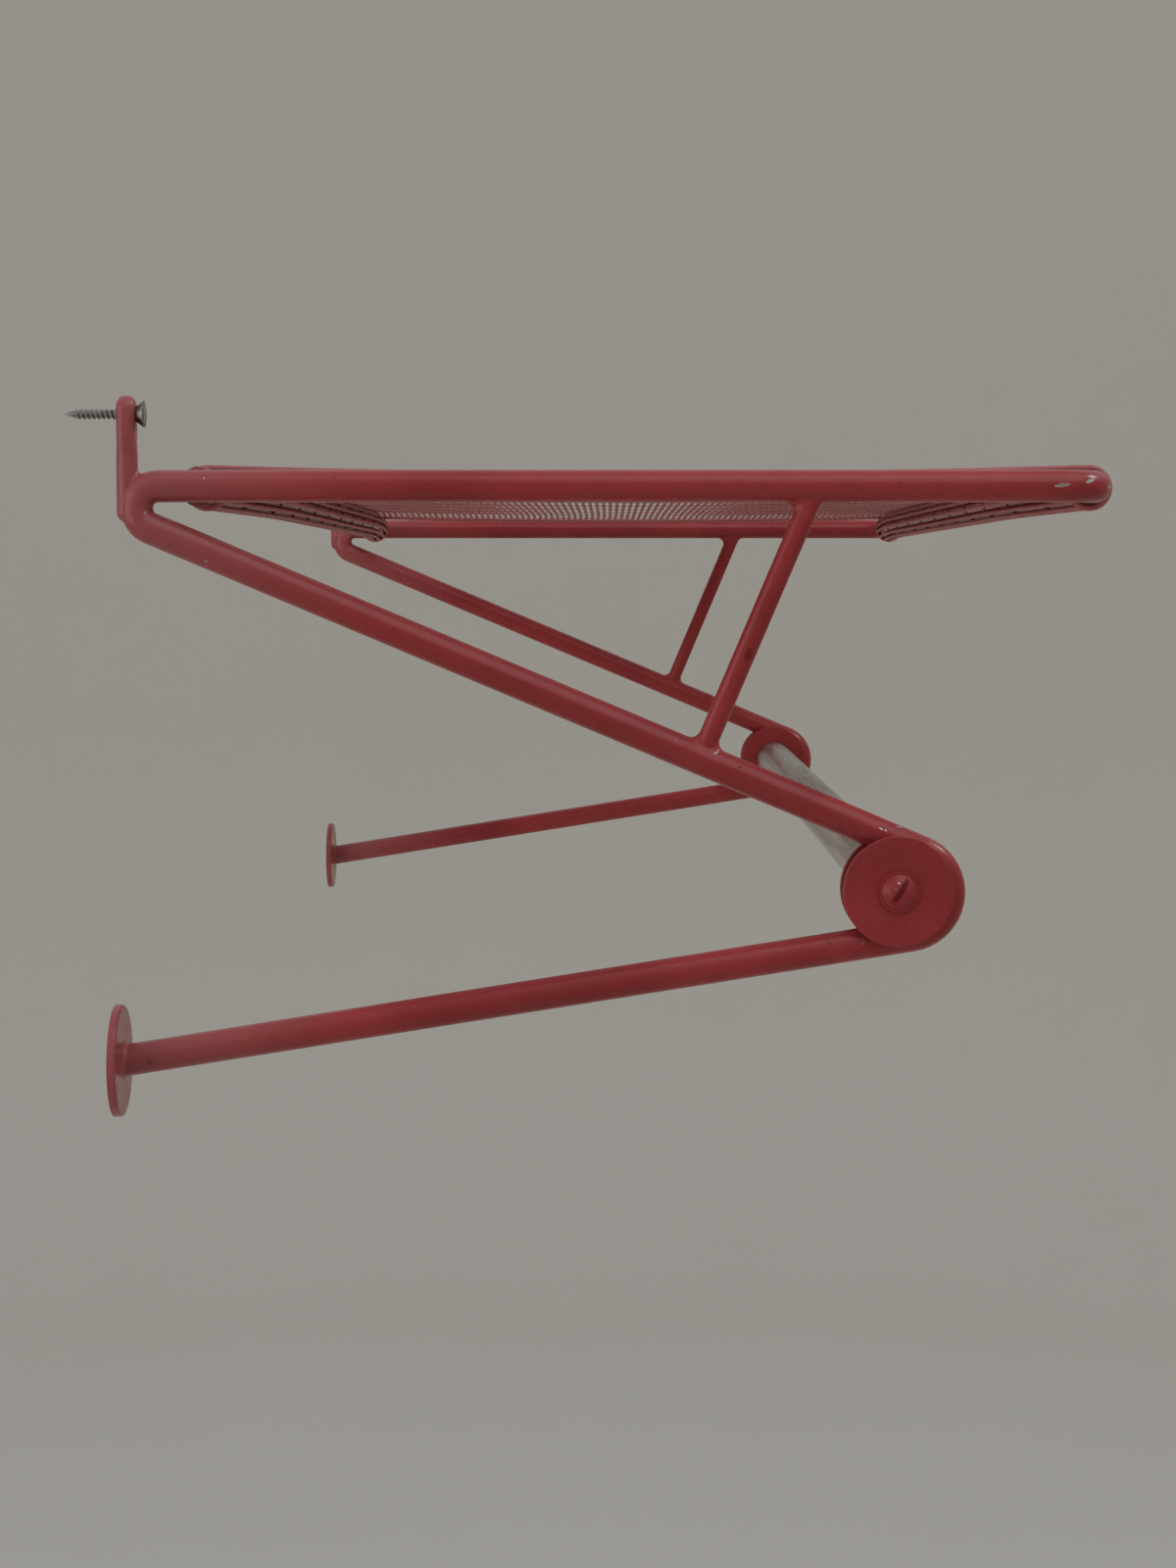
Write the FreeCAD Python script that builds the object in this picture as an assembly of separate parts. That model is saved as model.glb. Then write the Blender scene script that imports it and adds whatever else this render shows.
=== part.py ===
"""Wall luggage and coat rack of bent round bar, with a wire shelf and a hanging rail.

Frame: +X to the right along the wall, the wall is the plane Y = 0, the rack stands
out towards -Y, +Z is up. The origin is on the wall, midway between the two wall
screws and level with them. All lengths are millimetres.
"""

import FreeCAD, Part
import math
import os

Vector = FreeCAD.Vector

# Driving dimensions of the frame
bar_diameter = 12.0
strut_diameter = 8.0
frame_spacing = 840.0        # between the centre planes of the two side bars
shelf_height = -26.5         # centre line of the shelf rails
front_depth = 366.9          # centre line of the front crossbar at its corners
rear_depth = 31.8            # centre line of the rear crossbar at its ends
diagonal_drop = 0.4192       # fall of the diagonal for each unit of depth
diagonal_at_wall = -35.74    # height at which the diagonal's line meets the wall
arm_rise = 0.1607            # rise of the lower arm for each unit of depth
arm_at_wall = -241.3         # height at which the lower arm's line meets the wall
wall_bend_radius = 8.08
rail_bend_radius = 16.4
corner_radius = 14.0

# Crossbars bow in towards the middle of the shelf
bow_depth = 10.5
bow_half_width = 255.0       # where the slanted end runs turn into the straight middle
bow_bend_radius = 1500.0

# Struts, pads and wall brackets
strut_top_depth = {"left": 261.5, "right": 268.0}
strut_foot_depth = {"left": 218.6, "right": 224.6}
strut_weld_radius = 3.6
pad_diameter = 42.0
pad_thickness = 3.2
pad_rim_radius = 1.1
pad_weld_radius = 2.0
bracket_diameter = 8.0
bracket_depth = 6.6
bracket_foot = -36.0         # centre of its rounded lower end, behind the wall bend
bracket_weld_radius = 1.6
eye_thickness = 7.2
eye_half_width = 5.2
eye_rim_radius = 3.3
eye_top = 6.9
eye_foot = -8.0
neck_foot = -15.0
wall_hole_diameter = 4.6

# Wall screws, standing a little proud of the brackets
wall_shank_diameter = 4.2    # smooth shank, through the eye
wall_thread_diameter = 4.0   # threaded part, behind the bracket
wall_thread_start = 2.4      # depth at which the thread ends
wall_screw_head_diameter = 9.8
wall_screw_face_depth = 13.3
wall_screw_cone = 3.6
wall_screw_rim = 0.4
wall_screw_reach = 16.7      # length behind the wall plane
wall_screw_point = 5.0
wall_slot_width = 1.3
wall_slot_depth = 0.7
wall_slot_angle = 25.0
sink_clearance = 0.15        # between the screw's cone and the eye's countersink

# Hanging rail and what carries it
rail_axis_depth = 292.2
rail_axis_height = -176.2
rail_diameter = 22.0
rail_wall = 1.2
disc_diameter = 41.5
disc_thickness = 2.5
disc_rim_radius = 0.6
bush_diameter = 20.0
washer_diameter = 15.4
washer_thickness = 0.8
rail_screw_diameter = 6.0
rail_screw_head_diameter = 13.0
rail_screw_head_height = 3.4
rail_screw_length = 36.0
slot_width = 2.0
slot_depth = 2.4
slot_angle = 58.0            # from level, in degrees
plug_length = 26.0
turning_clearance = 0.06
end_clearance = 0.3

# Shelf mat: wires along the rack, on thin strips across it
wire_diameter = 1.8
wire_pitch = 3.7
strip_thickness = 0.3
strip_width = 4.0
strip_count = 11
mat_gap = 0.13               # between bars, strips and wires, so that none cut each other
edge_wire_diameter = 2.6
mat_half_width = 398.0
mat_sag = 2.6
hem_wire_count = 11
strip_overhang = 0.15        # turn beyond the last hem wire, in radians
edge_overhang = 0.1          # the same for the edge wires

# Modelling aids
cut_beyond = 1.0             # how far a cutting shape runs past what it cuts
behind_wall = 3.0            # the lower arm is drawn from this far behind the wall
same_place = 0.01            # lengths below this count as nothing
touching = 0.005             # an edge this near a surface lies on it
edge_samples = 5
bar_volume_error = 0.01      # share by which a swept bar may miss its volume
sliver_volume = 0.5          # smaller scraps of a boolean are dropped

bar_radius = bar_diameter / 2
wall_cone_start = wall_screw_face_depth - wall_screw_rim - wall_screw_cone
half_spacing = frame_spacing / 2
strip_reach = bar_radius + mat_gap + strip_thickness / 2
wire_reach = strip_reach + strip_thickness / 2 + mat_gap + wire_diameter / 2
edge_reach = bar_radius + mat_gap + edge_wire_diameter / 2
hem_step = wire_pitch / wire_reach       # turn round the crossbar from wire to wire
sides = {"left": -1, "right": 1}


def place(x, depth, height):
    """Point at a distance in front of the wall."""
    return Vector(x, -depth, height)


def rounded_path(points, radii):
    """Wire of straight runs joined by tangent arcs, one radius for each inner point."""
    edges = []
    start = points[0]

    def add_run(end):
        if (end - start).Length > same_place:
            edges.append(Part.LineSegment(start, end).toShape())

    for before, corner, after, radius in zip(points, points[1:], points[2:], radii):
        back = (before - corner).normalize()
        ahead = (after - corner).normalize()
        half_angle = back.getAngle(ahead) / 2
        reach = radius / math.tan(half_angle)
        first = corner + back * reach
        last = corner + ahead * reach
        inward = (back + ahead).normalize()
        middle = corner + inward * (radius / math.sin(half_angle) - radius)
        add_run(first)
        edges.append(Part.Arc(first, middle, last).toShape())
        start = last
    add_run(points[-1])
    return Part.Wire(edges)


def sweep(path, profile):
    """Solid made by carrying a closed profile along a path."""
    solid = path.makePipeShell([profile], True, False)
    if not solid.isValid() or solid.Volume <= 0:
        raise ValueError("sweep failed")
    return solid


def round_bar(path, diameter):
    """Round bar along a path."""
    start = path.OrderedVertexes[0].Point
    heading = path.OrderedEdges[0].tangentAt(path.OrderedEdges[0].FirstParameter)
    circle = Part.makeCircle(diameter / 2, start, heading)
    bar = sweep(path, Part.Wire([circle]))
    expected = math.pi * diameter ** 2 / 4 * path.Length
    if abs(bar.Volume - expected) > bar_volume_error * expected:
        raise ValueError("bar volume %.1f, expected %.1f" % (bar.Volume, expected))
    return bar


def cylinder_x(x_start, x_end, diameter, depth=rail_axis_depth, height=rail_axis_height):
    """Cylinder that runs along the rack."""
    return Part.makeCylinder(
        diameter / 2, abs(x_end - x_start), place(x_start, depth, height),
        Vector(math.copysign(1, x_end - x_start), 0, 0))


def single_solid(shape):
    """The one solid that a boolean leaves."""
    solids = [solid for solid in shape.Solids if solid.Volume > sliver_volume]
    if len(solids) != 1:
        raise ValueError("expected one solid, got %d" % len(solids))
    return solids[0]


def meeting_edges(fused, first, second):
    """Edges of a fused shape that lie on the surfaces of both pieces."""
    found = []
    for edge in fused.Edges:
        samples = edge.discretize(edge_samples)
        on_both = True
        for point in samples:
            vertex = Part.Vertex(point)
            for piece in (first, second):
                shell_gap = min(vertex.distToShape(shell)[0] for shell in piece.Shells)
                if shell_gap > touching:
                    on_both = False
        if on_both:
            found.append(edge)
    return found


def with_weld(piece, base, radius):
    """The piece with a concave weld fillet where it meets the base."""
    fused = base.fuse(piece)
    edges = meeting_edges(fused, piece, base)
    filleted = fused.makeFillet(radius, edges)
    return single_solid(filleted.cut(base))


def crossbar_offset(x):
    """How far a crossbar has bowed in at x, measured from its corner line."""
    slope = bow_depth / (half_spacing - bow_half_width)
    reach = bow_bend_radius * math.tan(math.atan(slope) / 2)
    run = abs(x) - (bow_half_width - reach)
    if run <= 0:
        return bow_depth
    if run < 2 * reach:
        return bow_depth - run ** 2 / (2 * bow_bend_radius)
    return (half_spacing - abs(x)) * slope


def along_rack(x_end, end_depth, middle_depth, height):
    """Path along the rack whose middle is bowed to another depth."""
    if abs(end_depth - middle_depth) < same_place:
        ends = place(-x_end, end_depth, height), place(x_end, end_depth, height)
        return Part.Wire([Part.LineSegment(*ends).toShape()])
    points = [
        place(-x_end, end_depth, height),
        place(-bow_half_width, middle_depth, height),
        place(bow_half_width, middle_depth, height),
        place(x_end, end_depth, height),
    ]
    return rounded_path(points, [bow_bend_radius, bow_bend_radius])


def side_bar(side):
    """Lower arm, bend round the rail, diagonal, wall bend and shelf rail in one bar."""
    x = side * half_spacing
    front_bend = (arm_at_wall - diagonal_at_wall) / -(diagonal_drop + arm_rise)
    wall_bend = (shelf_height - diagonal_at_wall) / -diagonal_drop
    points = [
        place(x, -behind_wall, arm_at_wall - behind_wall * arm_rise),
        place(x, front_bend, arm_at_wall + arm_rise * front_bend),
        place(x, wall_bend, shelf_height),
        place(x, front_depth - corner_radius, shelf_height),
    ]
    bar = round_bar(rounded_path(points, [rail_bend_radius, wall_bend_radius]), bar_diameter)
    size = pad_diameter
    behind_pad = Part.makeBox(size, size, size,
                              Vector(x - size / 2, -pad_thickness, arm_at_wall - size / 2))
    return single_solid(bar.cut(behind_pad))


def wall_pad(side, bar):
    """Round foot that rests on the wall, welded to the end of the lower arm."""
    x = side * half_spacing
    height = arm_at_wall + arm_rise * pad_thickness
    disc = Part.makeCylinder(pad_diameter / 2, pad_thickness, place(x, 0, height), Vector(0, -1, 0))
    front_rim = [edge for edge in disc.Edges if edge.BoundBox.YLength < same_place and
                 abs(edge.BoundBox.YMin + pad_thickness) < same_place]
    disc = disc.makeFillet(pad_rim_radius, front_rim)
    return with_weld(disc, bar, pad_weld_radius)


def strut(name, bar):
    """Short bar between the shelf rail and the diagonal, with its weld fillets."""
    x = sides[name] * half_spacing
    foot_height = diagonal_at_wall - diagonal_drop * strut_foot_depth[name]
    top = place(x, strut_top_depth[name], shelf_height)
    foot = place(x, strut_foot_depth[name], foot_height)
    rod = Part.makeCylinder(strut_diameter / 2, (top - foot).Length, foot, top - foot)
    return with_weld(single_solid(rod.cut(bar)), bar, strut_weld_radius)


def wall_bracket(side, bar):
    """Upright rod on the wall bend, with an eye at the top for the wall screw."""
    x = side * half_spacing
    back = bracket_depth - eye_thickness / 2
    crown = eye_top - eye_half_width
    left_foot = place(x - eye_half_width, back, eye_foot)
    left_shoulder = place(x - eye_half_width, back, crown)
    right_foot = place(x + eye_half_width, back, eye_foot)
    right_shoulder = place(x + eye_half_width, back, crown)
    outline = Part.Wire([
        Part.LineSegment(left_foot, left_shoulder).toShape(),
        Part.Arc(left_shoulder, place(x, back, eye_top), right_shoulder).toShape(),
        Part.LineSegment(right_shoulder, right_foot).toShape(),
        Part.LineSegment(right_foot, left_foot).toShape(),
    ])
    eye = Part.Face(outline).extrude(Vector(0, -eye_thickness, 0))
    rim = [edge for edge in eye.Edges if edge.BoundBox.YLength < same_place and
           edge.BoundBox.ZMax > eye_foot + same_place]
    eye = eye.makeFillet(eye_rim_radius, rim)
    flat_section = [face for face in eye.Faces
                    if abs(face.CenterOfMass.z - eye_foot) < same_place][0].OuterWire
    round_section = Part.Wire([Part.makeCircle(
        bracket_diameter / 2, place(x, bracket_depth, neck_foot), Vector(0, 0, 1))])
    neck = Part.makeLoft([round_section, flat_section], True)
    foot = place(x, bracket_depth, bracket_foot)
    rod = Part.makeCylinder(bracket_diameter / 2, neck_foot - bracket_foot, foot)
    rounded_foot = Part.makeSphere(bracket_diameter / 2, foot)
    hole = Part.makeCylinder(wall_hole_diameter / 2, 2 * eye_thickness,
                             place(x, back - eye_thickness / 2, 0), Vector(0, -1, 0))
    sink_radius = wall_screw_head_diameter / 2 + sink_clearance
    sink = Part.makeCone(wall_shank_diameter / 2 + sink_clearance, sink_radius, wall_screw_cone,
                         place(x, wall_cone_start, 0), Vector(0, -1, 0))
    bracket = rod.fuse([rounded_foot, neck, eye]).removeSplitter().cut([hole, sink])
    return with_weld(single_solid(bracket.cut(bar)), bar, bracket_weld_radius)


def wall_screw(side):
    """Slotted countersunk screw through the bracket's eye and into the wall."""
    x = side * half_spacing
    face = wall_screw_face_depth
    shank = wall_shank_diameter / 2
    thread = wall_thread_diameter / 2
    head = wall_screw_head_diameter / 2
    tip = wall_screw_reach - wall_screw_point
    profile = [
        place(x, -wall_screw_reach, 0),
        place(x, -tip, thread),
        place(x, wall_thread_start, thread),
        place(x, wall_thread_start, shank),
        place(x, wall_cone_start, shank),
        place(x, face - wall_screw_rim, head),
        place(x, face, head),
        place(x, face, 0),
        place(x, -wall_screw_reach, 0),
    ]
    screw = Part.Face(Part.makePolygon(profile)).revolve(profile[0], Vector(0, 1, 0), 360)
    slot = Part.makeBox(wall_slot_width, 2 * wall_slot_depth, 4 * head)
    slot.translate(Vector(x - wall_slot_width / 2, -face - wall_slot_depth, -2 * head))
    slot.rotate(place(x, face, 0), Vector(0, 1, 0), wall_slot_angle)
    return single_solid(screw.cut(slot))


def disc(x_start, x_end, hole):
    """Round plate with softened edges and a hole for the rail's screw."""
    plate = cylinder_x(x_start, x_end, disc_diameter)
    rims = [edge for edge in plate.Edges if edge.BoundBox.XLength < same_place]
    plate = plate.makeFillet(disc_rim_radius, rims)
    return single_solid(plate.cut(cylinder_x(x_start - (x_end - x_start), 2 * x_end - x_start, hole)))


def rail_carrier(side):
    """Discs, bush and washer that hold one end of the hanging rail in the bend."""
    hole = rail_screw_diameter + 2 * turning_clearance
    bar_inside = side * (half_spacing - bar_radius)
    bar_outside = side * (half_spacing + bar_radius)
    washer_inside = bar_outside + side * disc_thickness
    washer_outside = washer_inside + side * washer_thickness
    bush = cylinder_x(bar_inside, bar_outside, bush_diameter)
    washer = cylinder_x(washer_inside, washer_outside, washer_diameter)
    through = cylinder_x(bar_inside - side * cut_beyond, washer_outside + side * cut_beyond, hole)
    return {
        "outer_disc": disc(bar_outside, bar_outside + side * disc_thickness, hole),
        "inner_disc": disc(bar_inside - side * disc_thickness, bar_inside, hole),
        "spacer_bush": single_solid(bush.cut(through)),
        "rail_washer": single_solid(washer.cut(through)),
    }


def rail_end(side):
    """Screw and threaded plug that turn with one end of the hanging rail."""
    head_seat = side * (half_spacing + bar_radius + disc_thickness + washer_thickness
                        + turning_clearance)
    rail_face = side * (half_spacing - bar_radius - disc_thickness - end_clearance)
    head_radius = rail_screw_head_diameter / 2
    crown = rail_screw_head_height
    dome_radius = (head_radius ** 2 + crown ** 2) / (2 * crown)
    dome_centre = place(head_seat + side * (crown - dome_radius), rail_axis_depth, rail_axis_height)
    dome = Part.makeSphere(dome_radius, dome_centre)
    head = dome.common(cylinder_x(head_seat, head_seat + side * 2 * crown, rail_screw_head_diameter))
    shank = cylinder_x(head_seat, head_seat - side * rail_screw_length, rail_screw_diameter)
    slot_reach = head_radius + cut_beyond
    slot = Part.makeBox(2 * slot_depth, 2 * slot_reach, slot_width)
    slot.translate(Vector(-slot_depth, -slot_reach, -slot_width / 2))
    slot.rotate(Vector(0, 0, 0), Vector(1, 0, 0), -slot_angle)
    slot.translate(place(head_seat + side * crown, rail_axis_depth, rail_axis_height))
    screw = single_solid(head.fuse(shank).removeSplitter().cut(slot))
    plug = cylinder_x(rail_face, rail_face - side * plug_length, rail_diameter - 2 * rail_wall)
    bore = cylinder_x(rail_face + side * cut_beyond,
                      rail_face - side * (plug_length + cut_beyond), rail_screw_diameter)
    return {"rail_screw": screw, "rail_plug": single_solid(plug.cut(bore))}


def hanging_rail():
    """Plain tube between the two inner discs."""
    end = half_spacing - bar_radius - disc_thickness - end_clearance
    inside = rail_diameter - 2 * rail_wall
    outside = cylinder_x(-end, end, rail_diameter)
    return single_solid(outside.cut(cylinder_x(-end - cut_beyond, end + cut_beyond, inside)))


def front_crossbar():
    """Front bar with its two corner bends."""
    start = front_depth - corner_radius
    points = [
        place(-half_spacing, start, shelf_height),
        place(-half_spacing, front_depth, shelf_height),
        place(-bow_half_width, front_depth - bow_depth, shelf_height),
        place(bow_half_width, front_depth - bow_depth, shelf_height),
        place(half_spacing, front_depth, shelf_height),
        place(half_spacing, start, shelf_height),
    ]
    slant = math.atan(bow_depth / (half_spacing - bow_half_width))
    corner = corner_radius * math.tan(math.pi / 4 - slant / 2)
    radii = [corner, bow_bend_radius, bow_bend_radius, corner]
    return round_bar(rounded_path(points, radii), bar_diameter)


def rear_crossbar(left_bar, right_bar):
    """Rear bar, fitted and welded between the two shelf rails."""
    path = along_rack(half_spacing, rear_depth, rear_depth + bow_depth, shelf_height)
    bar = round_bar(path, bar_diameter)
    pieces = bar.cut([left_bar, right_bar]).Solids
    return max(pieces, key=lambda solid: solid.Volume)


def bar_depths(x):
    """Depths of the rear and front crossbars' centre lines at x."""
    offset = crossbar_offset(x)
    return rear_depth + offset, front_depth - offset


def shelf_wires():
    """Wires along the rack, from above the rear crossbar to above the front one."""
    end = mat_half_width - edge_wire_diameter / 2 - mat_gap
    rear_end, front_end = bar_depths(end)
    rear_middle, front_middle = bar_depths(0)
    top = shelf_height + wire_reach
    count = round((front_end - rear_end) / wire_pitch)
    wires = []
    for index in range(count + 1):
        share = index / count
        end_depth = rear_end + share * (front_end - rear_end)
        middle_depth = rear_middle + share * (front_middle - rear_middle)
        height = top - 4 * mat_sag * share * (1 - share)
        path = along_rack(end, end_depth, middle_depth, height)
        wires.append(round_bar(path, wire_diameter))
    return Part.makeCompound(wires)


def hem_wires(front):
    """Wires of the mat where it wraps round a crossbar, over the outside and under it."""
    end = mat_half_width - edge_wire_diameter / 2 - mat_gap
    which = 1 if front else 0
    outward = 1 if front else -1
    wires = []
    for index in range(1, hem_wire_count + 1):
        turn = index * hem_step
        shift = outward * wire_reach * math.sin(turn)
        height = shelf_height + wire_reach * math.cos(turn)
        end_depth = bar_depths(end)[which] + shift
        middle_depth = bar_depths(0)[which] + shift
        wires.append(round_bar(along_rack(end, end_depth, middle_depth, height), wire_diameter))
    return Part.makeCompound(wires)


def across_rack(x, reach, last_turn):
    """Path across the shelf: round the rear crossbar, over the top and round the front one."""
    rear, front = bar_depths(x)
    lean = 4 * mat_sag / (front - rear)

    def on_bar(depth, outward, turn):
        return place(x, depth + outward * reach * math.sin(turn),
                     shelf_height + reach * math.cos(turn))

    middle_turn = (last_turn - lean) / 2
    rear_top = on_bar(rear, -1, -lean)
    front_top = on_bar(front, 1, -lean)
    middle = place(x, (rear + front) / 2, rear_top.z - mat_sag)
    return Part.Wire([
        Part.Arc(on_bar(rear, -1, last_turn), on_bar(rear, -1, middle_turn), rear_top).toShape(),
        Part.Arc(rear_top, middle, front_top).toShape(),
        Part.Arc(front_top, on_bar(front, 1, middle_turn), on_bar(front, 1, last_turn)).toShape(),
    ])


def shelf_strips():
    """Thin flat strips under the wires, which hold the mat together and to the crossbars."""
    last_turn = hem_wire_count * hem_step + strip_overhang
    spacing = 2 * mat_half_width / (strip_count + 1)
    strips = []
    for index in range(strip_count):
        x = -mat_half_width + spacing * (index + 1)
        path = across_rack(x, strip_reach, last_turn)
        start = path.OrderedVertexes[0].Point
        heading = path.OrderedEdges[0].tangentAt(path.OrderedEdges[0].FirstParameter)
        across = Vector(1, 0, 0)
        normal = heading.cross(across).normalize()
        half_width = across * (strip_width / 2)
        half_thickness = normal * (strip_thickness / 2)
        corners = [
            start - half_width - half_thickness,
            start + half_width - half_thickness,
            start + half_width + half_thickness,
            start - half_width + half_thickness,
        ]
        strips.append(sweep(path, Part.makePolygon(corners + corners[:1])))
    return Part.makeCompound(strips)


def edge_wire(side):
    """Heavier wire along one side of the mat, which the ends of the wires are welded to."""
    path = across_rack(side * mat_half_width, edge_reach, hem_wire_count * hem_step + edge_overhang)
    return round_bar(path, edge_wire_diameter)


def build():
    """Every node of the rack, by name."""
    bars = {name: side_bar(side) for name, side in sides.items()}
    nodes = {
        "front_crossbar": front_crossbar(),
        "rear_crossbar": rear_crossbar(bars["left"], bars["right"]),
        "hanging_rail": hanging_rail(),
        "shelf_wires": shelf_wires(),
        "rear_hem_wires": hem_wires(front=False),
        "front_hem_wires": hem_wires(front=True),
        "shelf_strips": shelf_strips(),
    }
    for name, side in sides.items():
        bar = bars[name]
        nodes[name + "_side_bar"] = bar
        nodes[name + "_wall_pad"] = wall_pad(side, bar)
        nodes[name + "_strut"] = strut(name, bar)
        nodes[name + "_wall_bracket"] = wall_bracket(side, bar)
        nodes[name + "_wall_screw"] = wall_screw(side)
        nodes[name + "_edge_wire"] = edge_wire(side)
        for piece, solid in {**rail_carrier(side), **rail_end(side)}.items():
            nodes[name + "_" + piece] = solid
    return nodes


os.makedirs("parts", exist_ok=True)
for node, shape in build().items():
    if not shape.isValid():
        raise ValueError(node + " is not valid")
    shape.exportStep("parts/" + node + ".step")
    print("%-22s %3d solids %10.1f mm3" % (node, len(shape.Solids), shape.Volume))
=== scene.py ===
import math
import random

import bmesh
import bpy
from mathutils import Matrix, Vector


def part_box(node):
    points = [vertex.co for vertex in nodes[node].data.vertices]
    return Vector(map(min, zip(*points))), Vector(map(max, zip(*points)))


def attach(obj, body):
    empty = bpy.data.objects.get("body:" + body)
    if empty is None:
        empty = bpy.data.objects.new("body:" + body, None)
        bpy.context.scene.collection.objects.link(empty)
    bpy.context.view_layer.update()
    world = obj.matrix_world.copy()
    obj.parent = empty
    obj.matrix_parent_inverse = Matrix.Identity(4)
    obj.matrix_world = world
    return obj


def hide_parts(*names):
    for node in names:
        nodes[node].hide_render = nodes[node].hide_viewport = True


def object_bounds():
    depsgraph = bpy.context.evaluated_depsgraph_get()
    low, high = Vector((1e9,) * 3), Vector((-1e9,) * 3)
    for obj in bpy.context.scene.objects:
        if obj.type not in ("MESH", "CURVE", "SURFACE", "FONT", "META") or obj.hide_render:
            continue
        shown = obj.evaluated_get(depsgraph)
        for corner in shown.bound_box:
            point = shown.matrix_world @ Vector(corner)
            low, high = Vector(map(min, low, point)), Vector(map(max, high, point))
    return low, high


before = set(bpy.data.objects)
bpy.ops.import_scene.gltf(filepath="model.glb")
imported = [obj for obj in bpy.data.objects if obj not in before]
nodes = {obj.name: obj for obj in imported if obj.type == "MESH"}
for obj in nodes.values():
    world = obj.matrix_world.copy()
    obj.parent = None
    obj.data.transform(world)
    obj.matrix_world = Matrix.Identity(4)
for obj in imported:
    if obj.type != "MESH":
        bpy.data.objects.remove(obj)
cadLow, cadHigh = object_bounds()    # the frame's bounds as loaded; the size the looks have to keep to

# Metres throughout. The wall is the plane Y = 0, the rack stands out to -Y and the rail runs
# along X. The left side, at -X, is the one nearest the camera.

sides = (("left", -1), ("right", 1))    # each side's name and which way out it faces

print("frame loaded:", len(nodes), "nodes")


def newMaterial(name):
    material = bpy.data.materials.new(name)
    material.use_nodes = True
    tree = material.node_tree
    tree.nodes.clear()
    output = tree.nodes.new("ShaderNodeOutputMaterial")
    shader = tree.nodes.new("ShaderNodeBsdfPrincipled")
    tree.links.new(shader.outputs[0], output.inputs[0])
    return material, tree, shader


def put(tree, target, value):
    # a link where the value is a socket, else a plain number or colour
    if isinstance(value, bpy.types.NodeSocket):
        tree.links.new(value, target)
    else:
        target.default_value = value


def objectPlace(tree):
    return tree.nodes.new("ShaderNodeTexCoord").outputs["Object"]


def noise(tree, place, scale, detail=3.0, rough=0.55, stretch=None):
    if stretch:
        mapping = tree.nodes.new("ShaderNodeMapping")
        mapping.inputs["Scale"].default_value = stretch
        put(tree, mapping.inputs["Vector"], place)
        place = mapping.outputs[0]
    node = tree.nodes.new("ShaderNodeTexNoise")
    node.inputs["Scale"].default_value = scale
    node.inputs["Detail"].default_value = detail
    node.inputs["Roughness"].default_value = rough
    put(tree, node.inputs["Vector"], place)
    return node.outputs["Fac"]


def ramp(tree, value, low, high, atLow=0.0, atHigh=1.0):
    node = tree.nodes.new("ShaderNodeMapRange")
    node.interpolation_type = "SMOOTHSTEP"
    for name, setting in (("Value", value), ("From Min", low), ("From Max", high),
                          ("To Min", atLow), ("To Max", atHigh)):
        put(tree, node.inputs[name], setting)
    return node.outputs[0]


def maths(tree, operation, first, second=0.0):
    node = tree.nodes.new("ShaderNodeMath")
    node.operation = operation
    put(tree, node.inputs[0], first)
    put(tree, node.inputs[1], second)
    return node.outputs[0]


def blendColours(tree, factor, first, second):
    node = tree.nodes.new("ShaderNodeMix")
    node.data_type = "RGBA"
    put(tree, node.inputs["Factor"], factor)
    put(tree, node.inputs["A"], first)
    put(tree, node.inputs["B"], second)
    return node.outputs["Result"]


def specks(tree, place, scale, size, share):
    # small separate dots, one in each of a share of the cells, solid out to half their size
    node = tree.nodes.new("ShaderNodeTexVoronoi")
    node.inputs["Scale"].default_value = scale
    put(tree, node.inputs["Vector"], place)
    dot = ramp(tree, node.outputs["Distance"], size, size * 0.5)
    split = tree.nodes.new("ShaderNodeSeparateColor")
    put(tree, split.inputs[0], node.outputs["Color"])
    chosen = maths(tree, "LESS_THAN", split.outputs[0], share)
    return maths(tree, "MULTIPLY", dot, chosen)


def bump(tree, height, distance, strength, under=None):
    node = tree.nodes.new("ShaderNodeBump")
    node.inputs["Distance"].default_value = distance
    node.inputs["Strength"].default_value = strength
    put(tree, node.inputs["Height"], height)
    if under is not None:
        put(tree, node.inputs["Normal"], under)
    return node.outputs[0]


spotEdge = {
    "grain": 1400,      # noise scale of the uneven edge
    "outer": 1.3,       # the spot has faded out here, as a share of its size
    "inner": 1.05,
}


def nearSpots(tree, place, spots, ragged):
    # 1 at the named spots and 0 elsewhere, with an uneven edge
    breakup = maths(tree, "MULTIPLY", noise(tree, place, spotEdge["grain"]), ragged)
    total = None
    for spot in spots:
        mapping = tree.nodes.new("ShaderNodeMapping")
        mapping.vector_type = "TEXTURE"
        mapping.inputs["Location"].default_value = spot["at"]
        mapping.inputs["Rotation"].default_value = (math.radians(spot.get("tilt", 0)), 0, 0)
        mapping.inputs["Scale"].default_value = spot["size"]
        put(tree, mapping.inputs["Vector"], place)
        length = tree.nodes.new("ShaderNodeVectorMath")
        length.operation = "LENGTH"
        put(tree, length.inputs[0], mapping.outputs[0])
        rough = maths(tree, "ADD", length.outputs["Value"], breakup)
        mask = ramp(tree, rough, spotEdge["outer"], spotEdge["inner"])
        total = mask if total is None else maths(tree, "MAXIMUM", total, mask)
    return total


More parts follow.
